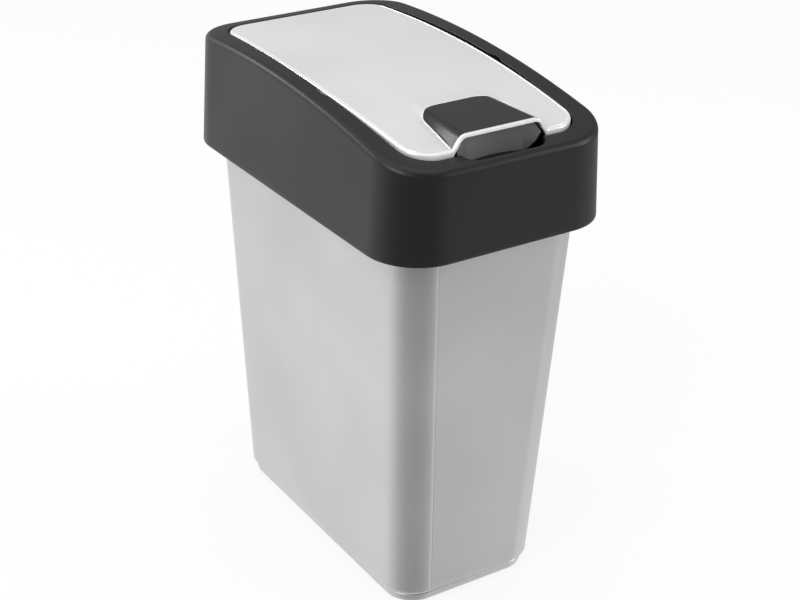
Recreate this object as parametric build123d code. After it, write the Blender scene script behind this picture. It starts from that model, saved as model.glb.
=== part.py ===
from build123d import *
import math
import os

# Flip-lid bin, 10 litres. Millimetres, +Z up, the origin on the floor under the middle of the bin.
# The front, where the finger recess is, faces -Y. The lid tips about a cross axis along X.

# The three sizes that the rest follows: the collar's plan and the height of the body's rim
FRAME_WIDTH = 168.0
FRAME_LENGTH = 280.0
RIM_Z = 324.0

# Bin body: a tapered tub on a low stepped foot, with a flange round its mouth
SKIRT_SPACE_X = 14.5
SKIRT_SPACE_Y = 13.7
BODY_WIDTH = FRAME_WIDTH - 2 * SKIRT_SPACE_X
BODY_LENGTH = FRAME_LENGTH - 2 * SKIRT_SPACE_Y
BODY_CORNER = 24.0
BODY_WALL = 1.8
BODY_FLOOR = 2.4
BODY_TAPER_X = 0.042
BODY_TAPER_Y = 0.047
FOOT_HEIGHT = 11.0
FOOT_STEP = 3.0
FOOT_INSET = 2.6
FOOT_EDGE = 3.6
FOOT_DRAFT = 0.3
RIM_HEIGHT = 3.0
RIM_REACH = 1.6

# Lid frame: the dark collar that drops over the mouth of the body
SKIRT_DROP = 50.0
FRAME_SKIRT_Z = RIM_Z - SKIRT_DROP
FRAME_CORNER = 36.2
FRAME_DRAFT = 2.8
FRAME_WALL = 2.5
FRAME_EDGE = 4.5
THROAT_WALL = 2.0
SEAT_THICKNESS = 2.2
SEAT_TOP = RIM_Z + SEAT_THICKNESS
LIP_DEPTH = 16.0
LIP_WALL = 1.8
LIP_CLEARANCE = 0.4
RIB_THICKNESS = 1.6
RIB_DEPTH = 34.0
RIB_PITCH = 74.0

# Lid: a silver cover over a dark liner, in an opening of the collar's deck
DECK_SIDE = 18.5
DECK_FRONT = 17.5
DECK_REAR = 17.3
LID_WIDTH = FRAME_WIDTH - 2 * DECK_SIDE
LID_FRONT = DECK_FRONT - FRAME_LENGTH / 2
LID_REAR = FRAME_LENGTH / 2 - DECK_REAR
LID_BOW = 3.5
LID_CORNER = 18.0
LID_GAP = 1.2
THROAT_HALF = LID_WIDTH / 2 + LID_GAP
COVER_SKIN = 1.8
COVER_RIM = 4.6
COVER_EDGE = 1.5
LINER_GAP = 0.3
LINER_SKIN = 1.8
LINER_INSET = COVER_SKIN + LINER_GAP
LINER_DEPTH = 12.0
LINER_RIB = 1.5
LINER_RIB_DEPTH = 9.0
LINER_RIB_FIRST = 20.0
LINER_RIB_PITCH = 36.0
LINER_RIB_COUNT = 4

# Arches of the deck and the lid: place of the crown along Y, its height, and the radius
DECK_CROWN = 172.5
DECK_RISE = 30.95
DECK_RADIUS = 806.0
LID_CROWN = 178.5
LID_SINK = 1.15
LID_RADIUS = 1062.0
DECK_TOP = RIM_Z + DECK_RISE
LID_TOP = DECK_TOP - LID_SINK
DECK_ARCH = (LID_FRONT + DECK_CROWN, DECK_TOP, DECK_RADIUS)
LID_ARCH = (LID_FRONT + LID_CROWN, LID_TOP, LID_RADIUS)

# Hood: a level shelf that grows out of the falling front of the lid, open at its front
HOOD_DROP = 6.2
HOOD_TOP = LID_TOP - HOOD_DROP
HOOD_REAR_HALF = 22.0
HOOD_FRONT_HALF = 29.0
HOOD_SLOPE_REAR = 4.2
HOOD_SLOPE_FRONT = 6.2
HOOD_SHOULDER = 7.0
HOOD_SKIN = 2.2
HOOD_SIDE_SHARE = 0.6
HOOD_LEAST_RISE = 0.15
INSERT_BAND = 2.4
INSERT_REACH = 48.8
INSERT_REAR_HALF = 28.3
INSERT_CORNER = 14.0
INSERT_THICKNESS = 1.3

# Pivots of the lid
PIVOT_Y = LID_FRONT + 100.9
PIVOT_Z = LID_TOP - 12.8
PIN_RADIUS = 3.0
PIN_HEAD_RADIUS = 5.0
PIN_HEAD = 1.5
PIN_TIP = 0.6
PIN_ENGAGEMENT = 8.0
RUNNING_CLEARANCE = 0.05
SEAT_CLEARANCE = 0.02
LUG_RADIUS = 7.0
LUG_THICKNESS = 3.2
BOSS_RADIUS = 6.4
BOSS_BOTTOM = 1.5
NOTCH_WIDTH = 9.0

# Finger recess and release button
RECESS_WIDTH = 62.0
RECESS_REACH = 8.3
RECESS_CORNER = 10.0
RECESS_WALL = 2.0
BUTTON_DISH = 9.0
BUTTON_HALF_WAIST = 28.9
BUTTON_HALF_TOP = 31.9
BUTTON_HALF_FOOT = 22.0
BUTTON_WAIST_Z = RIM_Z + 7.4
BUTTON_SHOULDER_Z = RIM_Z + 14.2
BUTTON_THICKNESS = 2.0
BUTTON_FRONT_Y = LID_FRONT + 10.5
BUTTON_CLEARANCE = 0.7
BUTTON_AXIS_Y = LID_FRONT + 6.5
BUTTON_AXIS_Z = RIM_Z - 12.0
BUTTON_BARREL_RADIUS = 3.6
BUTTON_WEB = 3.0
AXLE_RADIUS = 1.5
AXLE_END = 0.5
EAR_THICKNESS = 2.4
EAR_GAP = 0.5
CROSSBAR_Y = LID_FRONT + 18.0
CROSSBAR_SIZE = 4.0
CARRIER_LEDGE = 2.2

# Hook of the button and the catch of the lid
CATCH_Y = LID_FRONT + 16.5
CATCH_WALL = 1.5
CATCH_FOOT_Z = RIM_Z + 9.0
CATCH_BEAD = 1.6
CATCH_HALF = 10.0
HOOK_HALF = 6.0
HOOK_ARM = 2.2
HOOK_BACK_Y = LID_FRONT + 24.0
HOOK_ENGAGEMENT = 1.0
HOOK_CLEARANCE = 0.9
HOOK_NOSE = 2.4

# Leaf spring behind the button
SPRING_THICKNESS = 0.5
SPRING_WIDTH = 8.0
SPRING_X = 13.0
SPRING_TOP_Z = RIM_Z + 1.0
SPRING_GAP = 0.3
SPRING_ROOT = 3.0

# Reach of blocks that only trim others, and how far a joined or cutting block goes past a face
FAR = 200.0
OVER = 5.0
BITE = 0.5


def arch_height(arch, drop, y):
    """Height over the floor, at depth y, of the arch that lies below the given one by drop."""
    crown_y, top, radius = arch
    return top - radius + math.sqrt((radius - drop) ** 2 - (y - crown_y) ** 2)


def under_arch(arch, drop=0.0):
    """Everything below the arch that lies below the given one by drop."""
    front, middle, rear = [(y, arch_height(arch, drop, y)) for y in (-FAR, arch[0], FAR)]
    base = Polyline(rear, (FAR, -OVER), (-FAR, -OVER), front)
    return extrude(Plane.YZ * make_face(ThreePointArc(front, middle, rear) + base), amount=FAR, both=True)


def block(x0, x1, y0, y1, z0, z1):
    """A plain block between two corners."""
    return Pos((x0 + x1) / 2, (y0 + y1) / 2, (z0 + z1) / 2) * Box(x1 - x0, y1 - y0, z1 - z0)


def prism(outline, bottom, top):
    """An outline drawn on the floor, carried from one height to another."""
    return extrude(Pos(0, 0, bottom) * outline, amount=top - bottom)


def side_profile(points, x0, x1):
    """A shape drawn in depth and height, carried along X."""
    face = make_face(Polyline(*points, close=True))
    return Pos(x0, 0, 0) * extrude(Plane.YZ * face, amount=x1 - x0)


def rod(radius, x0, x1, y, z):
    """A round bar along X."""
    return Pos((x0 + x1) / 2, y, z) * Rot(0, 90, 0) * Cylinder(radius, abs(x1 - x0))


def both_sides(part):
    """The part and its mirror image across the middle of the bin."""
    return part + mirror(part, about=Plane.YZ)


def body_outline(z, grow=0.0):
    """Rounded rectangle of the tapered body at a height."""
    drop = FRAME_SKIRT_Z - z
    width = BODY_WIDTH - 2 * BODY_TAPER_X * drop + 2 * grow
    length = BODY_LENGTH - 2 * BODY_TAPER_Y * drop + 2 * grow
    return Pos(0, 0, z) * RectangleRounded(width, length, BODY_CORNER + grow)


def body_block(levels):
    """A block through the body's outlines, given as pairs of height and growth."""
    return loft([body_outline(z, grow) for z, grow in levels], ruled=True)


def bin_body():
    """Tapered tub with a stepped foot, a flat base and a flange round its mouth."""
    base = -FOOT_INSET - FOOT_DRAFT
    foot_top = FOOT_HEIGHT - FOOT_STEP
    outer = body_block([(0, base), (foot_top, -FOOT_INSET), (FOOT_HEIGHT, 0), (RIM_Z, 0)])
    outer = fillet(outer.edges().group_by(Axis.Z)[0], FOOT_EDGE)
    flange = body_block([(RIM_Z - RIM_HEIGHT, RIM_REACH), (RIM_Z, RIM_REACH)])
    flange = fillet(flange.edges().group_by(Axis.Z)[-1], RIM_HEIGHT / 3)
    inside = body_block(
        [
            (BODY_FLOOR, base - BODY_WALL),
            (foot_top + BODY_WALL, -FOOT_INSET - BODY_WALL),
            (FOOT_HEIGHT + BODY_WALL, -BODY_WALL),
            (RIM_Z + OVER, -BODY_WALL),
        ]
    )
    return outer + flange - inside


def frame_block(inset):
    """Drafted block of the frame's skirt, drawn in from its face by inset."""
    outline = RectangleRounded(FRAME_WIDTH - 2 * inset, FRAME_LENGTH - 2 * inset, FRAME_CORNER - inset)
    return extrude(Pos(0, 0, FRAME_SKIRT_Z) * outline, amount=DECK_TOP + OVER - FRAME_SKIRT_Z, taper=FRAME_DRAFT)


def lid_outline(grow=0.0):
    """Plan of the lid, grown or drawn in: gently bowed sides, straight ends and rounded corners."""
    half = LID_WIDTH / 2 + grow
    end = half - LID_BOW
    front = LID_FRONT - grow
    rear = LID_REAR + grow
    middle = (front + rear) / 2
    right = ThreePointArc((end, front), (half, middle), (end, rear))
    left = ThreePointArc((-end, rear), (-half, middle), (-end, front))
    face = make_face(Line((-end, front), (end, front)) + right + Line((end, rear), (-end, rear)) + left)
    return fillet(face.vertices(), LID_CORNER + grow)


def recess_outline(grow=0.0):
    """Rounded outline of the finger recess, which reaches out in front of the lid."""
    front = LID_FRONT - LID_GAP - RECESS_REACH
    length = CATCH_Y - front
    outline = RectangleRounded(RECESS_WIDTH + 2 * grow, length + 2 * grow, RECESS_CORNER + grow)
    return Pos(0, front + length / 2) * outline


def frame_skirt():
    """Outer wall and arched deck, rounded where they meet, and open below."""
    outer = frame_block(0) & under_arch(DECK_ARCH)
    crown = outer.faces().filter_by(GeomType.CYLINDER).sort_by(Axis.Z)[-1]
    outer = fillet(crown.edges(), FRAME_EDGE)
    return outer - (frame_block(FRAME_WALL) & under_arch(DECK_ARCH, FRAME_WALL))


def frame_ribs():
    """Thin upright ribs between the locating lip and the skirt, three on each long side, one on each end."""
    rise = RIM_Z - FRAME_SKIRT_Z
    lip_middle = RIM_REACH + LIP_CLEARANCE + LIP_WALL / 2
    lip_x = BODY_WIDTH / 2 + BODY_TAPER_X * rise + lip_middle
    lip_y = BODY_LENGTH / 2 + BODY_TAPER_Y * rise + lip_middle
    half = RIB_THICKNESS / 2
    low = RIM_Z - RIB_DEPTH
    ribs = []
    for side in (-1, 1):
        ends = sorted((side * lip_x, side * FRAME_WIDTH / 2))
        for y in (-RIB_PITCH, 0, RIB_PITCH):
            ribs.append(block(*ends, y - half, y + half, low, RIM_Z))
        ends = sorted((side * lip_y, side * FRAME_LENGTH / 2))
        ribs.append(block(-half, half, *ends, low, RIM_Z))
    keep = frame_block(FRAME_WALL / 2)
    return [rib & keep for rib in ribs]


def lid_frame():
    """Collar with its arched deck, lid opening, seat on the body's rim, pivot bosses and finger recess."""
    skin = under_arch(DECK_ARCH, FRAME_WALL / 2) & frame_block(FRAME_WALL / 2)
    throat = prism(lid_outline(LID_GAP + THROAT_WALL), RIM_Z, DECK_TOP)
    seat = prism(RectangleRounded(FRAME_WIDTH, FRAME_LENGTH, FRAME_CORNER), RIM_Z, SEAT_TOP)
    pocket = prism(recess_outline(RECESS_WALL), RIM_Z, DECK_TOP)
    lip_inside = body_outline(RIM_Z, RIM_REACH + LIP_CLEARANCE)
    lip_outside = body_outline(RIM_Z, RIM_REACH + LIP_CLEARANCE + LIP_WALL)
    lip = extrude(lip_outside - lip_inside, amount=-LIP_DEPTH)
    bore_end = THROAT_HALF + PIN_ENGAGEMENT
    boss = rod(BOSS_RADIUS, THROAT_HALF + THROAT_WALL / 2, bore_end + BOSS_BOTTOM, PIVOT_Y, PIVOT_Z)
    frame = frame_skirt() + [throat & skin, seat & skin, pocket & skin, lip] + frame_ribs() + both_sides(boss)
    frame = frame - prism(lid_outline(LID_GAP), RIM_Z - OVER, DECK_TOP + OVER)
    frame = frame - prism(recess_outline(), SEAT_TOP, DECK_TOP + OVER)
    bore = rod(PIN_RADIUS + RUNNING_CLEARANCE, THROAT_HALF - OVER, bore_end, PIVOT_Y, PIVOT_Z)
    half = NOTCH_WIDTH / 2
    ends = (THROAT_HALF - OVER, THROAT_HALF + THROAT_WALL)
    notch = block(*ends, PIVOT_Y - half, PIVOT_Y + half, PIVOT_Z + BOSS_RADIUS, DECK_TOP + OVER)
    return frame - both_sides(bore + notch)


def hood_rear():
    """Depth at which the hood's level top comes out of the lid's arch."""
    crown_y, top, radius = LID_ARCH
    return crown_y - math.sqrt(radius**2 - (radius - top + HOOD_TOP) ** 2)


def hood_section(y, share, inset):
    """Cut across the hood at depth y: level top, rounded shoulders, sloping sides down to the lid."""
    crease = HOOD_REAR_HALF + share * (HOOD_FRONT_HALF - HOOD_REAR_HALF) - inset * HOOD_SIDE_SHARE
    slope = HOOD_SLOPE_REAR + share * (HOOD_SLOPE_FRONT - HOOD_SLOPE_REAR)
    foot = crease + slope - inset * (1 - HOOD_SIDE_SHARE)
    top = HOOD_TOP - inset
    foot_z = min(arch_height(LID_ARCH, 0, y) - inset * HOOD_SIDE_SHARE, top - HOOD_LEAST_RISE)
    points = [(-foot, foot_z), (-crease, top), (crease, top), (foot, foot_z)]
    upper = FilletPolyline(*points, radius=HOOD_SHOULDER)
    lower = Polyline((foot, foot_z), (foot, SEAT_TOP), (-foot, SEAT_TOP), (-foot, foot_z))
    return Pos(0, y, 0) * (Plane.XZ * make_face(upper + lower))


def hood_block(inset, front):
    """Block of the hood, drawn in from its skin by inset, from its rear edge to the depth front."""
    rear = hood_rear()
    share = (front - rear) / (LID_FRONT - rear)
    return loft([hood_section(rear, 0, inset), hood_section(front, share, inset)], ruled=True)


def insert_outline():
    """Plan of the dark insert: it widens to the front and has rounded rear corners."""
    rear = LID_FRONT + INSERT_REACH
    front = LID_FRONT + INSERT_BAND
    front_half = HOOD_FRONT_HALF + HOOD_SLOPE_FRONT
    left = [(-INSERT_REAR_HALF, rear), (-front_half, front)]
    right = [(front_half, front), (INSERT_REAR_HALF, rear)]
    shape = Polygon(*left, *right, align=None)
    return fillet(shape.vertices().group_by(Axis.Y)[-1], INSERT_CORNER)


def hood_insert():
    """Thin dark panel over the top and the side slopes of the hood."""
    skin = hood_block(0, LID_FRONT) - hood_block(INSERT_THICKNESS, LID_FRONT)
    panel = skin & prism(insert_outline(), SEAT_TOP, LID_TOP)
    return panel - under_arch(LID_ARCH, INSERT_THICKNESS)


def lid_cover():
    """Curved silver cover with a turned-down rim and the hood that arches over the finger recess."""
    shell = prism(lid_outline(), SEAT_TOP, LID_TOP + OVER) & under_arch(LID_ARCH)
    crown = shell.faces().filter_by(GeomType.CYLINDER).sort_by(Axis.Z)[-1]
    shell = fillet(crown.edges(), COVER_EDGE)
    shell = shell + hood_block(0, LID_FRONT)
    hollow = prism(lid_outline(-COVER_SKIN), 0, LID_TOP) & under_arch(LID_ARCH, COVER_SKIN)
    shell = shell - hollow - under_arch(LID_ARCH, COVER_RIM)
    shell = shell - hood_block(HOOD_SKIN, LID_FRONT - OVER)
    return shell - hood_insert()


def liner_block(depth):
    """Block of the liner, drawn in from its own outside by depth."""
    inset = LINER_INSET + depth
    return prism(lid_outline(-inset), 0, LID_TOP) & under_arch(LID_ARCH, inset)


def liner_ribs():
    """Cross ribs under the rear part of the liner."""
    half = LINER_RIB / 2
    first = LID_REAR - LINER_RIB_FIRST
    rows = [first - number * LINER_RIB_PITCH for number in range(LINER_RIB_COUNT)]
    ribs = [block(-LID_WIDTH / 2, LID_WIDTH / 2, y - half, y + half, SEAT_TOP, LID_TOP) for y in rows]
    keep = liner_block(LINER_SKIN / 2) - under_arch(LID_ARCH, LINER_RIB_DEPTH)
    return [rib & keep for rib in ribs]


def lid_lug(outside):
    """Lug inside the liner's right wall, within the given block, with the hole that the pin is pressed into."""
    outer = LID_WIDTH / 2 - LINER_INSET
    inner = outer - LUG_THICKNESS
    lug = rod(LUG_RADIUS, inner, outer, PIVOT_Y, PIVOT_Z)
    lug = lug + block(inner, outer, PIVOT_Y - LUG_RADIUS, PIVOT_Y + LUG_RADIUS, PIVOT_Z, LID_TOP)
    hole = rod(PIN_RADIUS + SEAT_CLEARANCE, inner - OVER, outer + OVER, PIVOT_Y, PIVOT_Z)
    return lug & outside, hole


def lid_lugs(tray, outside):
    """The tray with both lugs and their holes."""
    lug, hole = lid_lug(outside)
    return tray + both_sides(lug) - both_sides(hole)


def lid_catch(outside):
    """Wall under the hood's front with the bead that the button's hook holds."""
    half = HOOD_FRONT_HALF + HOOD_SLOPE_FRONT
    back = CATCH_Y + CATCH_WALL
    wall = block(-half, half, CATCH_Y, back, CATCH_FOOT_Z, LID_TOP) & outside
    bead = side_profile(
        [
            (back - BITE, CATCH_FOOT_Z),
            (back + CATCH_BEAD / 2, CATCH_FOOT_Z),
            (back + CATCH_BEAD, CATCH_FOOT_Z + CATCH_BEAD / 2),
            (back + CATCH_BEAD, CATCH_FOOT_Z + CATCH_BEAD),
            (back - BITE, CATCH_FOOT_Z + CATCH_BEAD),
        ],
        -CATCH_HALF,
        CATCH_HALF,
    )
    return wall + bead


def lid_liner():
    """Dark inner tray of the lid, with ribs, the two pivot lugs and the catch for the button's hook."""
    outside = liner_block(0)
    tray = outside - liner_block(LINER_SKIN) - under_arch(LID_ARCH, LINER_DEPTH)
    half = HOOD_FRONT_HALF + HOOD_SLOPE_FRONT
    tray = tray + liner_ribs() - block(-half, half, LID_FRONT - OVER, CATCH_Y, 0, LID_TOP)
    return lid_lugs(tray, outside) + lid_catch(outside)


def pivot_pin(side):
    """Stub pin of the lid, with a head inside the lug; side is -1 for left and 1 for right."""
    inner = LID_WIDTH / 2 - LINER_INSET - LUG_THICKNESS
    end = THROAT_HALF + PIN_ENGAGEMENT - LINER_GAP
    head = rod(PIN_HEAD_RADIUS, side * (inner - PIN_HEAD), side * inner, PIVOT_Y, PIVOT_Z)
    shank = rod(PIN_RADIUS, side * (inner - PIN_HEAD), side * end, PIVOT_Y, PIVOT_Z)
    tip = shank.edges().filter_by(GeomType.CIRCLE).sort_by(Axis.X)[-1 if side > 0 else 0]
    return head + chamfer(tip, PIN_TIP)


def dish_radius():
    """Radius, in plan, of the button's dished face."""
    return (BUTTON_HALF_TOP**2 + BUTTON_DISH**2) / (2 * BUTTON_DISH)


def dish_cylinder(extra, low, high):
    """Upright cylinder whose rear side is the button's dished face, moved back by extra."""
    centre = BUTTON_FRONT_Y - dish_radius()
    return Pos(0, centre, (low + high) / 2) * Cylinder(dish_radius() + extra, high - low)


def button_outline(low, high):
    """Front view of the button: narrow foot, waist, shoulders and a level top."""
    points = [
        (-BUTTON_HALF_FOOT, low),
        (-BUTTON_HALF_FOOT, SEAT_TOP - CARRIER_LEDGE),
        (-BUTTON_HALF_WAIST, BUTTON_WAIST_Z),
        (-BUTTON_HALF_TOP, BUTTON_SHOULDER_Z),
        (-BUTTON_HALF_TOP, high),
    ]
    points = points + [(-x, z) for x, z in reversed(points)]
    return extrude(Plane.XZ * make_face(Polyline(*points, close=True)), amount=FAR, both=True)


def button_plate():
    """Dished thumb plate, clear of the inside of the hood above its waist."""
    top = HOOD_TOP - HOOD_SKIN - BUTTON_CLEARANCE
    low = BUTTON_AXIS_Z
    plate = dish_cylinder(BUTTON_THICKNESS, low, top) - dish_cylinder(0, low - OVER, top + OVER)
    plate = plate & button_outline(low, top)
    plate = plate & block(-FAR, FAR, LID_FRONT + BUTTON_CLEARANCE, FAR, low, top)
    below = plate & block(-FAR, FAR, -FAR, FAR, low, BUTTON_WAIST_Z)
    above = plate & hood_block(HOOD_SKIN + BUTTON_CLEARANCE, LID_FRONT - OVER)
    return above + below


def button_hook(back):
    """Arm from the back of the plate, and the hook that reaches over the catch's bead."""
    nose_low = CATCH_FOOT_Z + CATCH_BEAD + HOOK_CLEARANCE
    nose_top = nose_low + HOOK_NOSE
    nose_tip = CATCH_Y + CATCH_WALL + CATCH_BEAD - HOOK_ENGAGEMENT
    arm_front = HOOK_BACK_Y - HOOK_ARM
    return side_profile(
        [
            (back - BITE, SEAT_TOP),
            (HOOK_BACK_Y, SEAT_TOP),
            (HOOK_BACK_Y, nose_top),
            (arm_front, nose_top),
            (nose_tip, nose_low + HOOK_NOSE / 3),
            (nose_tip, nose_low),
            (arm_front, nose_low),
            (arm_front, SEAT_TOP + HOOK_ARM),
            (back - BITE, SEAT_TOP + HOOK_ARM),
        ],
        -HOOK_HALF,
        HOOK_HALF,
    )


def release_button():
    """Dished thumb plate on a barrel, with an arm and a hook that reach behind the lid's catch."""
    half = BUTTON_HALF_FOOT
    barrel = rod(BUTTON_BARREL_RADIUS, -half, half, BUTTON_AXIS_Y, BUTTON_AXIS_Z)
    back = BUTTON_FRONT_Y + BUTTON_THICKNESS
    web = block(-half, half, BUTTON_AXIS_Y, back, BUTTON_AXIS_Z, BUTTON_AXIS_Z + BUTTON_WEB)
    button = button_plate() + barrel + web + button_hook(back)
    return button - rod(AXLE_RADIUS + RUNNING_CLEARANCE, -FAR, FAR, BUTTON_AXIS_Y, BUTTON_AXIS_Z)


def carrier_ear(front, back, low):
    """Right ear of the carrier, from the ledge under the recess down to the cross bar."""
    radius = BUTTON_BARREL_RADIUS
    ear_in = BUTTON_HALF_FOOT + EAR_GAP
    bar_back = CROSSBAR_Y + CROSSBAR_SIZE / 2
    return side_profile(
        [
            (front, RIM_Z),
            (front, RIM_Z - CARRIER_LEDGE),
            (BUTTON_AXIS_Y - radius, low),
            (BUTTON_AXIS_Y, low - CROSSBAR_SIZE),
            (bar_back, low - CROSSBAR_SIZE),
            (bar_back, low),
            (BUTTON_AXIS_Y + radius, BUTTON_AXIS_Z + radius),
            (back, RIM_Z),
        ],
        ear_in,
        ear_in + EAR_THICKNESS,
    )


def latch_carrier():
    """Bracket under the front of the frame: floor of the recess, two ears for the axle, and a cross bar."""
    front = LID_FRONT - LID_GAP
    half = RECESS_WIDTH / 2
    floor = block(-half, half, front, CATCH_Y, SEAT_TOP - CARRIER_LEDGE, SEAT_TOP)
    floor = floor & dish_cylinder(-BUTTON_CLEARANCE, 0, DECK_TOP)
    ledge_ends = (front - THROAT_WALL, front + THROAT_WALL)
    ledge = block(-half, half, *ledge_ends, RIM_Z - CARRIER_LEDGE, RIM_Z)
    low = BUTTON_AXIS_Z - BUTTON_BARREL_RADIUS
    bar_end = BUTTON_HALF_FOOT + EAR_GAP + EAR_THICKNESS
    bar_half = CROSSBAR_SIZE / 2
    bar = block(-bar_end, bar_end, CROSSBAR_Y - bar_half, CROSSBAR_Y + bar_half, low - CROSSBAR_SIZE, low)
    carrier = floor + ledge + both_sides(carrier_ear(*ledge_ends, low)) + bar
    carrier = carrier - rod(AXLE_RADIUS + SEAT_CLEARANCE, -FAR, FAR, BUTTON_AXIS_Y, BUTTON_AXIS_Z)
    return carrier - button_spring(SEAT_CLEARANCE)


def button_axle():
    """Thin steel axle through the ears and the button's barrel."""
    half = BUTTON_HALF_FOOT + EAR_GAP + EAR_THICKNESS + AXLE_END
    return rod(AXLE_RADIUS, -half, half, BUTTON_AXIS_Y, BUTTON_AXIS_Z)


def button_spring(grow=0.0):
    """Bent strip of spring steel that stands in the cross bar and leans on the back of the button."""
    low = BUTTON_AXIS_Z - BUTTON_BARREL_RADIUS - SPRING_ROOT
    half = SPRING_THICKNESS / 2 + grow
    bend_z = BUTTON_AXIS_Z + BUTTON_BARREL_RADIUS
    radius = dish_radius()
    plate_back = BUTTON_FRONT_Y - radius + math.sqrt((radius + BUTTON_THICKNESS) ** 2 - SPRING_X**2)
    tip_y = plate_back + SPRING_GAP + SPRING_THICKNESS / 2
    points = [
        (CROSSBAR_Y - half, low - grow),
        (CROSSBAR_Y + half, low - grow),
        (CROSSBAR_Y + half, bend_z),
        (tip_y + half, SPRING_TOP_Z),
        (tip_y - half, SPRING_TOP_Z),
        (CROSSBAR_Y - half, bend_z),
    ]
    return side_profile(points, SPRING_X - grow, SPRING_X + SPRING_WIDTH + grow)


NODES = {
    "bin_body": bin_body,
    "lid_frame": lid_frame,
    "lid_cover": lid_cover,
    "lid_liner": lid_liner,
    "hood_insert": hood_insert,
    "pivot_pin_left": lambda: pivot_pin(-1),
    "pivot_pin_right": lambda: pivot_pin(1),
    "release_button": release_button,
    "latch_carrier": latch_carrier,
    "button_axle": button_axle,
    "button_spring": button_spring,
}

os.makedirs("parts", exist_ok=True)
for name, build in NODES.items():
    export_step(build(), "parts/" + name + ".step")
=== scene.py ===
"""Looks of a slim flip-lid bin, built round its construction model. Metres, +Z up, the front towards -Y."""
import logging
import math
from dataclasses import dataclass, field
from enum import Enum

import bpy
import numpy as np
from bpy.types import Material, Node, NodeSocket, NodeTree
from mathutils import Matrix, Vector


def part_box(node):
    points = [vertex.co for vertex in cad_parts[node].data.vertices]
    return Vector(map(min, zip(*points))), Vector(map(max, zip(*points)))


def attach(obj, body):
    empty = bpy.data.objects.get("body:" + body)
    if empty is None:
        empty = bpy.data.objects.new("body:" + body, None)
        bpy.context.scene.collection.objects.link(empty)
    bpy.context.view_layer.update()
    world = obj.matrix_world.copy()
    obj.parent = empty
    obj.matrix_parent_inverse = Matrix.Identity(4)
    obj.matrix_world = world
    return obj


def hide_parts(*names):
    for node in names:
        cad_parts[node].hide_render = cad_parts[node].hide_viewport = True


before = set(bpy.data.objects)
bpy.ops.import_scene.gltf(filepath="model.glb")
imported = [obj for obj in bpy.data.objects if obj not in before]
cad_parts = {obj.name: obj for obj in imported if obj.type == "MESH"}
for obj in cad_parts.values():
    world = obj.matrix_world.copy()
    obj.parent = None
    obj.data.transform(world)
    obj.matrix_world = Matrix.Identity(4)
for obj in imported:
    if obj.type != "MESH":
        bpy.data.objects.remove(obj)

LOG = logging.getLogger("flip_lid_bin")
MM = 0.001
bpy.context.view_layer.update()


class Body(Enum):
    """Bodies that the finished pieces ride on."""

    BIN = "bin"
    FRAME = "frame"
    LID = "lid"


class Slot(Enum):
    """Material slots of the record, one named for each finished piece."""

    BODY_SILVER = "body_silver"
    LID_SILVER = "lid_silver"
    FRAME_DARK = "frame_dark"
    INSERT_DARK = "insert_dark"


def linear(hex_colour: str) -> tuple[float, float, float, float]:
    """Turns an sRGB hex colour to linear.

    Args:
        hex_colour: six hex digits, such as "c8c8c6".

    Returns:
        Linear red, green, blue and an alpha of 1.
    """
    parts = [int(hex_colour[i : i + 2], 16) / 255 for i in (0, 2, 4)]
    return (*[p / 12.92 if p <= 0.04045 else ((p + 0.055) / 1.055) ** 2.4 for p in parts], 1.0)


def add_node(tree: NodeTree, kind: str, settings: dict | None = None, links: dict | None = None) -> Node:
    """Adds one shader node.

    Args:
        tree: node tree that gets the node.
        kind: name of the shader node's type, without the words that all of them start with.
        settings: attribute names or input names, with their values.
        links: input names, with the output socket that feeds each.

    Returns:
        The new node.
    """
    node = tree.nodes.new("ShaderNode" + kind)
    for key, value in (settings or {}).items():
        if isinstance(key, str) and hasattr(node, key) and key not in node.inputs:
            setattr(node, key, value)
        else:
            node.inputs[key].default_value = value
    for key, socket in (links or {}).items():
        tree.links.new(socket, node.inputs[key])
    return node


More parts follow.
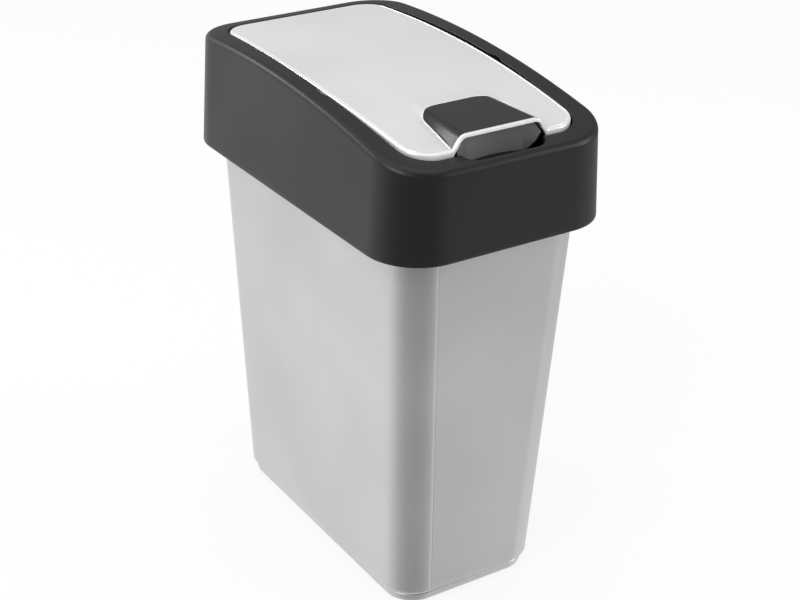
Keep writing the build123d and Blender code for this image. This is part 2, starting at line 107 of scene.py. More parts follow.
@dataclass(frozen=True)
class Finish:
    """A finish: the colour and the surface that a maker would specify.

    Its colour drifts a little over the part, as pigment does, its fine texture is what the mould's surface
    leaves, its polish varies where hands and cloths have been, and metal flecks show where the plastic has them.
    """

    name: str
    colour: str
    colour_low: str
    roughness: float
    grain: float = 0.7 * MM
    grain_height: float = 0.02 * MM
    drift: float = 90 * MM
    metallic: float = 0.0
    ior: float = 1.49
    coat: float = 0.0
    specular: float = 0.5
    flecks: float = 0.0
    smoothest: float = 0.88
    roughest: float = 1.14

    def build(self) -> Material:
        """Makes the node material.

        Returns:
            The material, ready for an object's slot.
        """
        material = bpy.data.materials.new(self.name)
        material.use_nodes = True
        tree = material.node_tree
        tree.nodes.clear()
        place = {"Vector": add_node(tree, "TexCoord").outputs["Object"]}
        cloud = add_node(tree, "TexNoise", {"Scale": 1 / self.drift, "Detail": 1.0, "Roughness": 0.5}, place)
        speck = add_node(tree, "TexNoise", {"Scale": 1 / self.grain, "Detail": 2.0, "Roughness": 0.6}, place)
        soft = {"interpolation_type": "SMOOTHERSTEP", "From Min": 0.15, "From Max": 0.85}
        drift = add_node(tree, "MapRange", soft, {"Value": cloud.outputs["Fac"]}).outputs["Result"]
        span = {"To Min": self.roughness * self.smoothest, "To Max": self.roughness * self.roughest}
        rough = add_node(tree, "MapRange", span, {"Value": drift})
        height = {"Height": speck.outputs["Fac"]}
        bump = add_node(tree, "Bump", {"Strength": 1.0, "Distance": self.grain_height}, height)
        shader = add_node(
            tree,
            "BsdfPrincipled",
            {
                "Metallic": self.metallic,
                "IOR": self.ior,
                "Coat Weight": self.coat,
                "Specular IOR Level": self.specular,
            },
            {
                "Base Color": self.colour_nodes(tree, drift, speck.outputs["Fac"]),
                "Roughness": rough.outputs["Result"],
                "Normal": bump.outputs["Normal"],
            },
        )
        add_node(tree, "OutputMaterial", links={"Surface": shader.outputs["BSDF"]})
        return material

    def colour_nodes(self, tree: NodeTree, drift: NodeSocket, speck: NodeSocket) -> NodeSocket:
        """Mixes the two colours by the slow drift of the pigment, and lays the metal flecks over them.

        Args:
            tree: node tree of the material.
            drift: slow change over the part, from 0 to 1.
            speck: fine noise of the grain, whose peaks are the flecks.

        Returns:
            The socket that holds the colour.
        """
        pigment = {"data_type": "RGBA", 6: linear(self.colour_low), 7: linear(self.colour)}
        plain = add_node(tree, "Mix", pigment, {0: drift}).outputs[2]
        if not self.flecks:
            return plain
        peaks = {"From Min": 0.5, "From Max": 0.8, "To Min": 0.0, "To Max": self.flecks}
        amount = add_node(tree, "MapRange", peaks, {"Value": speck}).outputs["Result"]
        bright = {"data_type": "RGBA", 7: linear("ffffff")}
        return add_node(tree, "Mix", bright, {0: amount, 6: plain}).outputs[2]


# Polypropylene moulded with silver flake in it: a soft metal sheen with no clear reflection, a little uneven
# from the way the melt ran. The real flakes are well under 0.1 mm, and are drawn at 0.9 mm so that they show.
BODY_SILVER = Finish(
    "silver_flake_polypropylene", "cdcdcd", "c1c1c1", 0.33,
    grain=0.9 * MM, grain_height=0.005 * MM, metallic=0.7, flecks=0.08,
)
# ABS under a thin silver lacquer: paler and more even than the tub, nearer to satin paint than to metal. The
# lacquer's flakes too are drawn at 0.9 mm so that they show.
LID_SILVER = Finish(
    "light_silver_lacquered_abs", "e9e9e9", "e4e4e4", 0.33,
    grain=0.9 * MM, grain_height=0.003 * MM, metallic=0.25, flecks=0.08,
)
# The same lacquer on edges that a polished part of the mould forms: smoother than the flat, and painted paler
# than it as a painted highlight, so that the rim, the step line and the bead show as fine bright lines. Its
# grain is drawn at 0.6 mm so that it shows.
LID_EDGE_HIGHLIGHT = Finish(
    "polished_silver_edge_painted_highlight", "fafafa", "f4f4f4", 0.22,
    grain=0.6 * MM, grain_height=0.002 * MM, metallic=0.25, coat=0.3,
)
# Polypropylene moulded against a spark-eroded surface: nearly black, with a broad dull shine on round edges.
# The real grain is about 0.2 mm wide, and is drawn at 1.3 mm so that it shows.
FRAME_DARK = Finish(
    "charcoal_fine_grain_polypropylene", "202022", "1c1c1e", 0.4,
    grain=1.3 * MM, grain_height=0.08 * MM, specular=0.42,
)
# ABS moulded against a satin surface: black, with a clearer shine than the collar's, so that its slopes turn
# light and dark. Its grain of about 0.1 mm is drawn at 0.6 mm so that it shows.
INSERT_DARK = Finish(
    "charcoal_satin_abs", "19191b", "171719", 0.33, grain=0.6 * MM, grain_height=0.006 * MM, specular=0.62
)
# ABS moulded against a polished surface: no grain, only the slow 2.5 mm waves of a moulded skin, and a light
# gloss that fills the dish with a soft gradient. It is grey plastic, painted a lighter mid grey than it is, as
# painted light that makes up for the hood's shade over it.
BUTTON_GLOSS = Finish(
    "grey_gloss_abs", "808082", "7a7a7c", 0.33, grain=2.5 * MM, grain_height=0.003 * MM, coat=0.2
)
# The collar's polypropylene down the walls of the lid's opening, which no polish reaches: dull, with hardly
# any shine, and painted near black as painted shade for the gap round the lid. Its grain is drawn at 1 mm so
# that it shows.
GAP_SHADE = Finish(
    "charcoal_polypropylene_painted_shade", "0d0d0e", "0b0b0c", 0.6,
    grain=1.0 * MM, grain_height=0.02 * MM, specular=0.15,
)
# Moulded acetal: dense black with an even, waxy shine. Its grain is drawn at 0.7 mm so that it shows.
PIN_PLASTIC = Finish("black_acetal", "2b2b2c", "272728", 0.38, grain_height=0.01 * MM)
# Rolled and hardened spring steel: a bright grey metal with a blurred reflection. The marks of the rolls are
# finer than the 0.4 mm at which they are drawn so that they show.
STEEL = Finish(
    "bright_spring_steel", "b4b5b8", "a8a9ac", 0.22,
    grain=0.4 * MM, grain_height=0.005 * MM, metallic=1.0, ior=1.5,
)


def raised(plan: np.ndarray, heights: np.ndarray | float) -> np.ndarray:
    """Puts points in plan at one height, or each at its own."""
    return np.column_stack([plan, np.broadcast_to(heights, len(plan))])


@dataclass
class MeshParts:
    """Collects grids, rings and caps of one piece as arrays, each with its own vertices."""

    points: list = field(default_factory=list)
    faces: list = field(default_factory=list)
    count: int = 0

    def add_points(self, points: np.ndarray) -> np.ndarray:
        """Adds vertices.

        Args:
            points: places, of any array shape that ends in 3.

        Returns:
            The vertices' numbers, in the same array shape.
        """
        flat = np.asarray(points, float).reshape(-1, 3)
        numbers = np.arange(self.count, self.count + len(flat)).reshape(np.shape(points)[:-1])
        self.points.append(flat)
        self.count += len(flat)
        return numbers

    def quads(self, numbers: np.ndarray, closed: bool = False, flip: bool = False) -> None:
        """Adds the quads of a grid; columns run anticlockwise and rows run up, seen from outside.

        Args:
            numbers: rows by columns of vertex numbers.
            closed: the last column joins the first.
            flip: turn the faces over.
        """
        if closed:
            numbers = np.concatenate([numbers, numbers[:, :1]], axis=1)
        a, b = numbers[:-1, :-1], numbers[:-1, 1:]
        c, d = numbers[1:, 1:], numbers[1:, :-1]
        order = (a, d, c, b) if flip else (a, b, c, d)
        self.faces += np.stack([part.ravel() for part in order], axis=1).tolist()

    def cap(self, ring: np.ndarray, up: bool) -> None:
        """Closes a flat ring of vertices that runs anticlockwise seen from above.

        Args:
            ring: vertex numbers of the ring.
            up: the cap faces up.
        """
        self.faces.append(ring.tolist() if up else ring[::-1].tolist())

    def sweep(self, rows: np.ndarray, close_profile: bool = False) -> np.ndarray:
        """Adds a surface of closed rings.

        Args:
            rows: rings by stations by 3; rings run up along the outside.
            close_profile: the last ring joins the first.

        Returns:
            The vertices' numbers, rings by stations.
        """
        numbers = self.add_points(rows)
        whole = np.concatenate([numbers, numbers[:1]]) if close_profile else numbers
        self.quads(whole, closed=True)
        return numbers

    def solid(self, rows: np.ndarray) -> None:
        """Adds closed rings with a cap under the first ring and one over the last."""
        numbers = self.sweep(rows)
        self.cap(numbers[0], up=False)
        self.cap(numbers[-1], up=True)

    def block(self, low: tuple, high: tuple) -> None:
        """Adds a plain block between two corners, for ribs and other small straight parts."""
        x, y, z = zip(low, high)
        ring = np.array([(x[0], y[0]), (x[1], y[0]), (x[1], y[1]), (x[0], y[1])])
        self.solid(np.stack([raised(ring, level) for level in z]))

    def drum(self, radius: float, start: Vector, end: Vector, steps: int = 40) -> None:
        """Adds a closed round bar: circles of one radius about the line from start to end."""
        axis = (end - start).normalized()
        side = axis.orthogonal().normalized()
        other = axis.cross(side)
        angle = np.linspace(0, 2 * math.pi, steps, endpoint=False)[:, None]
        circle = radius * (np.cos(angle) * np.array(side) + np.sin(angle) * np.array(other))
        self.solid(np.stack([circle + np.array(start), circle + np.array(end)]))

    def array(self) -> np.ndarray:
        """All vertices as one array."""
        return np.concatenate(self.points)


@dataclass
class Workshop:
    """Makes each finish once and turns arrays into finished objects."""

    made: dict = field(default_factory=dict)

    def material(self, finish: Finish) -> Material:
        """The material of a finish, made at its first use."""
        if finish.name not in self.made:
            self.made[finish.name] = finish.build()
        return self.made[finish.name]

    def piece(
        self,
        name: str,
        parts: MeshParts,
        finish: Finish,
        body: Body,
        slot: Slot,
        replaces: str,
        sharp_degrees: float = 40.0,
        edge_finish: Finish | None = None,
        edge_faces: list | None = None,
    ) -> None:
        """Makes an object from arrays, dresses it and says what it rides on.

        Args:
            name: name of the piece.
            parts: its vertices in metres, and its faces, which turn anticlockwise seen from outside.
            finish: finish of the surface.
            body: body that carries the piece.
            slot: material slot of the record; not used.
            replaces: construction node that the piece stands for.
            sharp_degrees: edges that turn by more than this stay crisp.
            edge_finish: second finish, for some faces: the painted shade in the collar's throat, and the painted
                highlight on the lid's edges.
            edge_faces: numbers of those faces.
        """
        mesh = bpy.data.meshes.new(name)
        mesh.from_pydata(parts.array().tolist(), [], parts.faces)
        mesh.polygons.foreach_set("use_smooth", np.ones(len(mesh.polygons), bool))
        mesh.set_sharp_from_angle(angle=math.radians(sharp_degrees))
        mesh.materials.append(self.material(finish))
        if edge_finish:
            mesh.materials.append(self.material(edge_finish))
            second = np.zeros(len(mesh.polygons), np.int32)
            second[edge_faces] = 1
            mesh.polygons.foreach_set("material_index", second)
        mesh.update()
        made = bpy.data.objects.new(name, mesh)
        bpy.context.scene.collection.objects.link(made)
        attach(made, body.value)
        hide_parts(replaces)
        LOG.info("%s: %d vertices, %d faces, on %s", name, len(mesh.vertices), len(mesh.polygons), body.value)


@dataclass(frozen=True)
class LoopStations:
    """Stations round a rounded rectangle, anticlockwise seen from above, from the front's left end.

    A point is anchor * (half size - radius) + normal * radius, so one set of stations gives every rounded
    rectangle, and rings made from it match station by station.
    """

    anchor: np.ndarray
    normal: np.ndarray

    @property
    def in_front(self) -> np.ndarray:
        """Which stations lie on the straight front."""
        return np.isclose(self.normal[:, 1], -1)

    def ring(self, half_x: float, half_y: float, radius: float, middle_y: float = 0.0) -> np.ndarray:
        """Places of the stations in plan, n by 2."""
        inner = np.array([half_x - radius, half_y - radius])
        return self.anchor * inner + self.normal * radius + np.array([0, middle_y])


def loop_stations(front: np.ndarray, per_side: int, per_end: int, per_corner: int) -> LoopStations:
    """Makes stations: straight sides are even steps, corners are even turns of the normal.

    Args:
        front: steps along the front from -1 to 1, which may be uneven.
        per_side: stations along each long side.
        per_end: stations along the rear.
        per_corner: stations in each corner.

    Returns:
        The stations.
    """
    anchors, normals = [], []

    def side(steps: np.ndarray, start: tuple, end: tuple, normal: tuple) -> None:
        """Stations on one straight side, from start to end as the steps go from -1 to 1."""
        share = ((steps + 1) / 2)[:, None]
        anchors.append(np.array(start) * (1 - share) + np.array(end) * share)
        normals.append(np.tile(np.array(normal, float), (len(steps), 1)))

    def corner(anchor: tuple, start: float) -> None:
        """Stations round one corner, without its ends, from the direction start, in degrees."""
        turn = np.radians(start + 90 * np.arange(1, per_corner + 1) / (per_corner + 1))
        anchors.append(np.tile(np.array(anchor, float), (per_corner, 1)))
        normals.append(np.column_stack([np.cos(turn), np.sin(turn)]))

    even_side = np.linspace(-1, 1, per_side)
    even_end = np.linspace(-1, 1, per_end)
    side(front, (-1, -1), (1, -1), (0, -1))
    corner((1, -1), -90)
    side(even_side, (1, -1), (1, 1), (1, 0))
    corner((1, 1), 0)
    side(even_end, (1, 1), (-1, 1), (0, 1))
    corner((-1, 1), 90)
    side(even_side, (-1, 1), (-1, -1), (-1, 0))
    corner((-1, -1), 180)
    return LoopStations(np.concatenate(anchors), np.concatenate(normals))


def arc_levels(radius: float, start: float, end: float, steps: int) -> np.ndarray:
    """Points (outward, up) on a quarter circle or part of one, about its centre, for angles in degrees."""
    turn = np.radians(np.linspace(start, end, steps))
    return np.column_stack([radius * np.cos(turn), radius * np.sin(turn)])


@dataclass(frozen=True)
class Arch:
    """A circle about a line along X: its crown's depth and height, and its radius."""

    middle_y: float
    top: float
    radius: float

    def height(self, y: np.ndarray, drop: float = 0.0) -> np.ndarray:
        """Height at depth y of the circle that lies below this one by drop."""
        return self.top - self.radius + np.sqrt((self.radius - drop) ** 2 - (y - self.middle_y) ** 2)


DECK_ARCH = Arch(50 * MM, 354.95 * MM, 806 * MM)
LID_ARCH = Arch(56 * MM, 353.8 * MM, 1062 * MM)


@dataclass(frozen=True)
class LidPlan:
    """Plan of the lid: straight ends, rounded corners, and long sides that bow outward."""

    half_end: float = 62.0 * MM
    half_length: float = 122.6 * MM
    corner: float = 18.0 * MM
    middle_y: float = 0.1 * MM
    bow: float = 3.5 * MM

    def bent(self, plan: np.ndarray) -> np.ndarray:
        """Widens a plan: x times 1 + bow / half_end * (1 - t * t), with t from -1 in front to 1 behind."""
        t = np.clip((plan[..., 1] - self.middle_y) / self.half_length, -1, 1)
        wider = np.array(plan, float)
        wider[..., 0] *= 1 + self.bow / self.half_end * (1 - t**2)
        return wider

    def ring(self, stations: LoopStations, grow: float = 0.0) -> np.ndarray:
        """Outline, grown outward, at a loop's stations."""
        sizes = (self.half_end + grow, self.half_length + grow, self.corner + grow)
        return self.bent(stations.ring(*sizes, self.middle_y))


@dataclass
class BinTub:
    """The tapered silver tub, its stepped foot and the flange round its mouth."""

    shop: Workshop
    width: float = 139.0 * MM
    length: float = 252.6 * MM
    corner: float = 24.0 * MM
    wall: float = 1.8 * MM
    floor: float = 2.4 * MM
    skirt_z: float = 274.0 * MM
    taper_x: float = 0.042
    taper_y: float = 0.047
    foot: float = 11.0 * MM
    foot_step: float = 3.0 * MM
    foot_inset: float = 2.6 * MM
    foot_draft: float = 0.3 * MM
    foot_edge: float = 3.6 * MM
    base_reach: float = 6.0 * MM
    crease: float = 0.5 * MM
    line: float = 0.3 * MM
    seam_share: float = 0.008
    seam_depth: float = 0.12 * MM
    rim_height: float = 3.0 * MM
    rim_reach: float = 1.6 * MM
    rim_z: float = field(default_factory=lambda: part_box("bin_body")[1].z)

    def levels(self) -> np.ndarray:
        """Profile of the tub as rows of height and outward growth.

        The outside runs up from the base: rounded edge, foot, slanting step with a fine line on either side,
        wall, flange and its rounded top. Then the inside runs down to the floor.

        Returns:
            Heights and growths, n by 2.
        """
        foot_top = self.foot - self.foot_step
        base = -self.foot_inset - self.foot_draft
        rows = [(0.0, base - self.foot_edge - self.base_reach)]
        for out, up in arc_levels(self.foot_edge, -90, 0, 9):
            rows.append((self.foot_edge + up, base - self.foot_edge + out))
        soft = self.crease
        rows += [
            (foot_top - 2 * soft, -self.foot_inset),
            (foot_top - 1.4 * soft, -self.foot_inset - self.line),
            (foot_top - 0.8 * soft, -self.foot_inset - self.line),
            (foot_top - 0.2 * soft, -self.foot_inset),
            (foot_top + soft, -self.foot_inset + 0.5 * MM),
            (self.foot - 2 * soft, -0.9 * MM),
            (self.foot - 1.2 * soft, -0.5 * MM - self.line),
            (self.foot - 0.4 * soft, -0.2 * MM - self.line),
            (self.foot + 0.2 * soft, -0.05 * MM),
            (self.foot + soft, 0.0),
        ]
        rows += [(z, 0.0) for z in np.linspace(self.foot + 3 * MM, self.rim_z - self.rim_height, 24)]
        edge = self.rim_height / 3
        rows += [(self.rim_z - self.rim_height, self.rim_reach), (self.rim_z - edge, self.rim_reach)]
        for out, up in arc_levels(edge, 20, 90, 5):
            rows.append((self.rim_z - edge + up, self.rim_reach - edge + out))
        inner_edge = self.wall / 3
        for out, up in arc_levels(inner_edge, 90, 180, 5):
            rows.append((self.rim_z - inner_edge + up, inner_edge - self.wall + out))
        wall_foot = self.foot + self.wall + 1 * MM
        rows += [(z, -self.wall) for z in np.linspace(self.rim_z - 8 * MM, wall_foot, 20)]
        inner = -self.foot_inset - self.wall
        rows.append((foot_top + self.wall, inner))
        for up, inset in ((2.0, 0.0), (0.6, 0.6), (0.0, 2.0), (0.0, 8.0)):
            rows.append((self.floor + up * MM, inner - inset * MM))
        return np.array(rows)

    def build(self) -> None:
        """Carries the profile round the tapered rounded rectangle, and closes the floor and the base.

        The silver film's ends meet in a fine upright line beside the front left corner.
        """
        beside = 1 - self.seam_share * np.arange(4)
        front = np.concatenate([-beside, np.linspace(-0.8, 0.8, 7), beside[::-1]])
        stations = loop_stations(front, 13, 9, 15)
        marked = np.isclose(stations.anchor[:, 0], -beside[1]) & stations.in_front
        rings = []
        for z, grow in self.levels():
            drop = self.skirt_z - z
            half_x = self.width / 2 - self.taper_x * drop + grow
            half_y = self.length / 2 - self.taper_y * drop + grow
            plan = stations.ring(half_x, half_y, self.corner + grow)
            if self.foot < z < self.rim_z - 2 * self.rim_height:
                plan[:, 1] += marked * self.seam_depth
            rings.append(raised(plan, z))
        parts = MeshParts()
        parts.solid(np.stack(rings))
        self.shop.piece("bin_tub", parts, BODY_SILVER, Body.BIN, Slot.BODY_SILVER, "bin_body")


@dataclass
class Collar:
    """The dark lid frame: drafted skirt, arched deck, lid opening with a scalloped front, and inner works."""

    shop: Workshop
    arch: Arch = DECK_ARCH
    lid: LidPlan = LidPlan()
    width: float = 168.0 * MM
    length: float = 280.0 * MM
    corner: float = 36.2 * MM
    skirt_z: float = 274.0 * MM
    draft: float = math.tan(math.radians(2.8))
    wall: float = 2.5 * MM
    edge: float = 4.5 * MM
    foot_edge: float = 0.6 * MM
    foot_land: float = 2.0 * MM
    gap: float = 1.2 * MM
    throat_wall: float = 2.0 * MM
    lip_edge: float = 0.9 * MM
    seat_z: float = 324.0 * MM
    seat: float = 2.2 * MM
    recess_half: float = 31.0 * MM
    recess_reach: float = 8.3 * MM
    recess_corner: float = 10.0 * MM
    locating_half: tuple = (73.6 * MM, 130.65 * MM)
    locating_corner: float = 26.0 * MM
    locating_wall: float = 1.8 * MM
    locating_depth: float = 16.0 * MM
    rib_pitch: float = 74.0 * MM
    rib_half: float = 0.8 * MM
    rib_depth: float = 34.0 * MM
    pivot_y: float = -21.6 * MM
    pivot_z: float = 341.0 * MM
    boss_radius: float = 6.4 * MM
    boss_length: float = 9.5 * MM
    notch_half: float = 4.5 * MM
    notch_least: float = 2.0 * MM

    def front_steps(self) -> np.ndarray:
        """Steps along the front: close together where the scallop turns, even beyond it."""
        share = self.recess_half / (self.lid.half_end - self.lid.corner)
        middle = np.sin(np.linspace(-math.pi / 2, math.pi / 2, 61)) * share
        left = np.linspace(-1, -share, 9)[:-1]
        return np.concatenate([left, middle, -left[::-1]])

    def scallop(self, x: np.ndarray) -> np.ndarray:
        """How far the opening's front edge stands forward at x: a flat run with round ends.

        Args:
            x: places along the front.

        Returns:
            Distances forward of the lid's opening.
        """
        run = np.clip(np.abs(x) - (self.recess_half - self.recess_corner), 0, self.recess_corner)
        return np.clip(
            self.recess_reach - self.recess_corner + np.sqrt(self.recess_corner**2 - run**2), 0, None
        ) * (np.abs(x) <= self.recess_half)

    def notch(self, plan: np.ndarray) -> np.ndarray:
        """How far the opening's edge stands outward at the two pivot notches, for stations in plan."""
        inside = np.abs(plan[:, 1] - self.pivot_y) < self.notch_half
        return np.where(inside & (np.abs(plan[:, 0]) > self.lid.half_end), self.throat_wall, 0.0)

    def build(self) -> None:
        """Builds the collar as one piece: shell, recess floor, seat, locating lip, ribs and pivot bosses."""
        parts = MeshParts()
        throat = self.add_shell(parts)
        self.add_recess_floor(parts)
        self.add_inner_works(parts)
        # The throat's faces take the near-black second finish, painted shade for the gap round the lid.
        self.shop.piece(
            "collar", parts, FRAME_DARK, Body.FRAME, Slot.FRAME_DARK, "lid_frame",
            sharp_degrees=35.0, edge_finish=GAP_SHADE, edge_faces=throat,
        )

    def side_steps(self, stations: LoopStations) -> LoopStations:
        """Moves the stations nearest the notches onto the notches' ends, so that these are square."""
        anchor = stations.anchor.copy()
        half = self.lid.half_length - self.lid.corner
        straight = np.abs(stations.normal[:, 0]) > 0.999
        for side in (-1, 1):
            on_side = np.where(straight & (np.sign(stations.normal[:, 0]) == side))[0]
            place = anchor[on_side, 1] * half + self.lid.middle_y
            for offset in (-1.02, -0.98, 0.98, 1.02):
                target = self.pivot_y + offset * self.notch_half
                nearest = on_side[np.argmin(np.abs(place - target))]
                anchor[nearest, 1] = (target - self.lid.middle_y) / half
                place = anchor[on_side, 1] * half + self.lid.middle_y
        return LoopStations(anchor, stations.normal)

    def add_shell(self, parts: MeshParts) -> list:
        """Sweeps the shell's closed profile round the collar.

        Up the drafted outer wall, round the edge, across the arched deck, over the opening's lip, down the
        throat and back along the inside. Each height on the deck is the arch's at that point's own depth.

        Args:
            parts: gets the shell.

        Returns:
            Numbers of the faces down the throat, which are less polished than the outside and get the painted
            shade of the gap round the lid.
        """
        stations = loop_stations(self.front_steps(), 61, 25, 19)
        notched_stations = self.side_steps(stations)
        rows = []

        def outer(inset: float | np.ndarray) -> np.ndarray:
            """Outer outline at the skirt's foot, drawn in by one inset or by each station's own."""
            whole = stations.ring(self.width / 2, self.length / 2, self.corner)
            return whole - stations.normal * np.reshape(inset, (-1, 1))

        def lid_ring(grow: float, notched: bool = True) -> np.ndarray:
            """Outline of the opening, grown outward, with the scallop and the notches."""
            ring = self.lid.ring(notched_stations, self.gap + grow)
            ring[:, 1] -= stations.in_front * self.scallop(ring[:, 0])
            if notched:
                ring[:, 0] += np.sign(ring[:, 0]) * self.notch(ring)
            return ring

        def row(plan: np.ndarray, heights: np.ndarray | float) -> None:
            """Adds one ring to the profile."""
            rows.append(raised(plan, heights))

        row(outer(self.foot_land), self.skirt_z)
        row(outer(self.foot_edge), self.skirt_z)
        row(outer(self.foot_edge * 0.3), self.skirt_z + self.foot_edge * 0.3)
        row(outer(self.foot_edge * self.draft), self.skirt_z + self.foot_edge)
        straight_top = self.arch.height(outer(0)[:, 1]) - self.edge
        climb = straight_top - self.skirt_z
        for share in np.linspace(0.05, 1, 12):
            row(outer(share * climb * self.draft), self.skirt_z + share * climb)
        crown_inset = climb * self.draft
        for out, up in arc_levels(self.edge, 6, 90, 14):
            plan = outer(crown_inset + self.edge - out)
            row(plan, self.arch.height(plan[:, 1]) - self.edge + up)
        crown, lip, inner = rows[-1][:, :2], lid_ring(self.lip_edge), lid_ring(0.0)
        for share in np.linspace(0.12, 1, 10):
            plan = crown * (1 - share) + lip * share
            row(plan, self.arch.height(plan[:, 1]))
        for turn in np.radians(np.linspace(20, 90, 5)):
            plan = lip * (1 - math.sin(turn)) + inner * math.sin(turn)
            row(plan, self.arch.height(plan[:, 1]) - self.lip_edge * (1 - math.cos(turn)))
        deck = self.arch.height(inner[:, 1])
        notch_z = np.minimum(self.pivot_z + self.boss_radius, deck - self.notch_least)
        plain = lid_ring(0.0, notched=False)
        throat_start = len(rows) - 1
        row(inner, deck * 0.7 + notch_z * 0.3)
        row(inner, notch_z)
        row(plain, notch_z - 0.05 * MM)
        for share in np.linspace(0.25, 1, 4):
            row(plain, notch_z * (1 - share) + self.seat_z * share)
        throat_end = len(rows) - 1
        back = lid_ring(self.throat_wall, notched=False)
        row(back, self.seat_z)
        row(back, self.arch.height(back[:, 1]) - self.wall)
        plan = outer(self.wall + crown_inset + 1 * MM)
        row(plan, self.arch.height(plan[:, 1]) - self.wall)
        inside_top = straight_top + self.edge - self.wall
        for share in np.linspace(0.02, 1, 6):
            height = inside_top * (1 - share) + self.skirt_z * share
            row(outer(self.wall + (height - self.skirt_z) * self.draft), height)
        parts.sweep(np.stack(rows), close_profile=True)
        count = len(stations.normal)
        walls = np.arange(throat_start * count, throat_end * count)
        return walls[~stations.in_front[walls % count]].tolist()

    def add_recess_floor(self, parts: MeshParts) -> None:
        """Adds the level floor of the finger recess, from the scallop's edge back to the lid's opening."""
        x = np.sin(np.linspace(-math.pi / 2, math.pi / 2, 41)) * self.recess_half
        front_y = self.lid.middle_y - self.lid.half_length - self.gap
        front = np.column_stack([x, front_y - self.scallop(x) - self.throat_wall / 2])
        back = np.column_stack([x, np.full_like(x, front_y)])
        outline = np.concatenate([front, back[::-1]])
        parts.solid(np.stack([raised(outline, z) for z in (self.seat_z, self.seat_z + self.seat)]))

    def add_inner_works(self, parts: MeshParts) -> None:
        """Adds the seat on the tub's rim, the locating lip, the ribs and the pivot bosses."""
        stations = loop_stations(np.linspace(-1, 1, 9), 13, 9, 11)
        lean = (self.seat_z - self.skirt_z) * self.draft
        inset = self.wall * 0.7 + lean
        seat_out = stations.ring(self.width / 2 - inset, self.length / 2 - inset, self.corner - inset)
        seat_in = self.lid.ring(stations, self.gap + self.throat_wall / 2)
        half_x, half_y = self.locating_half
        wall = self.locating_wall
        lip_in = stations.ring(half_x, half_y, self.locating_corner)
        lip_out = stations.ring(half_x + wall, half_y + wall, self.locating_corner + wall)
        for outside, inside, low, high in (
            (seat_out, seat_in, self.seat_z, self.seat_z + self.seat),
            (lip_out, lip_in, self.seat_z - self.locating_depth, self.seat_z + self.seat / 2),
        ):
            rings = [(outside, low), (outside, high), (inside, high), (inside, low)]
            parts.sweep(np.stack([raised(plan, z) for plan, z in rings]), close_profile=True)
        low = self.seat_z - self.rib_depth
        reach_x = self.width / 2 - self.wall - lean
        reach_y = self.length / 2 - self.wall - lean
        for side in (-1, 1):
            for step in (-1, 0, 1):
                y = step * self.rib_pitch
                ends = sorted((side * (half_x + wall / 2), side * reach_x))
                parts.block((ends[0], y - self.rib_half, low), (ends[1], y + self.rib_half, self.seat_z))
            ends = sorted((side * (half_y + wall / 2), side * reach_y))
            parts.block((-self.rib_half, ends[0], low), (self.rib_half, ends[1], self.seat_z))
            start = side * (self.lid.half_end + self.lid.bow + self.gap + self.throat_wall / 2)
            ends = (start, start + side * self.boss_length)
            parts.drum(self.boss_radius, *[Vector((x, self.pivot_y, self.pivot_z)) for x in ends])


@dataclass(frozen=True)
class HoodForm:
    """Shape of the hood: a level shelf on the falling lid, with side slopes that run out at the rear.

    At depth y the side climbs in a straight line from the foot, on the lid, to the crease at the shelf's
    level, and a circle that touches both rounds the shoulder.
    """

    arch: Arch = LID_ARCH
    top: float = 347.6 * MM
    rear_half: float = 22.0 * MM
    front_half: float = 29.0 * MM
    slope_rear: float = 4.2 * MM
    slope_front: float = 6.2 * MM
    shoulder: float = 7.0 * MM
    front_y: float = -122.5 * MM

    @property
    def rear_y(self) -> float:
        """Depth at which the lid's arch falls to the shelf's level."""
        rise = self.top - (self.arch.top - self.arch.radius)
        return self.arch.middle_y - math.sqrt(self.arch.radius**2 - rise**2)

    def share(self, y: np.ndarray) -> np.ndarray:
        """How far forward a depth lies: 0 at the rear of the hood and 1 at its front."""
        return np.clip((y - self.rear_y) / (self.front_y - self.rear_y), 0, 1)

    def crease(self, y: np.ndarray) -> np.ndarray:
        """Half width of the shelf at depth y."""
        return self.rear_half + self.share(y) * (self.front_half - self.rear_half)

    def run(self, y: np.ndarray) -> np.ndarray:
        """Width of the side slope at depth y."""
        return self.slope_rear + self.share(y) * (self.slope_front - self.slope_rear)

    def foot(self, y: np.ndarray) -> np.ndarray:
        """Half width of the hood at the lid's level at depth y."""
        return self.crease(y) + self.run(y)

    def height(self, x: np.ndarray, y: np.ndarray) -> np.ndarray:
        """Height of the lid's top surface, hood included, at plan points.

        The shoulder's circle starts radius * tan(angle / 2) inside the crease and ends radius * sin(angle)
        further out, where angle is the slope's.
        """
        lid = self.arch.height(y)
        rise = np.clip(self.top - lid, 0, None)
        angle = np.arctan2(rise, self.run(y))
        out = np.abs(x) - self.crease(y) + self.shoulder * np.tan(angle / 2)
        rounded = self.top - self.shoulder + np.sqrt(np.clip(self.shoulder**2 - out**2, 0, None))
        slope = self.top - (np.abs(x) - self.crease(y)) * np.tan(angle)
        form = np.where(out < 0, self.top, np.where(out < self.shoulder * np.sin(angle), rounded, slope))
        return np.where(rise > 0, np.maximum(lid, form), lid)


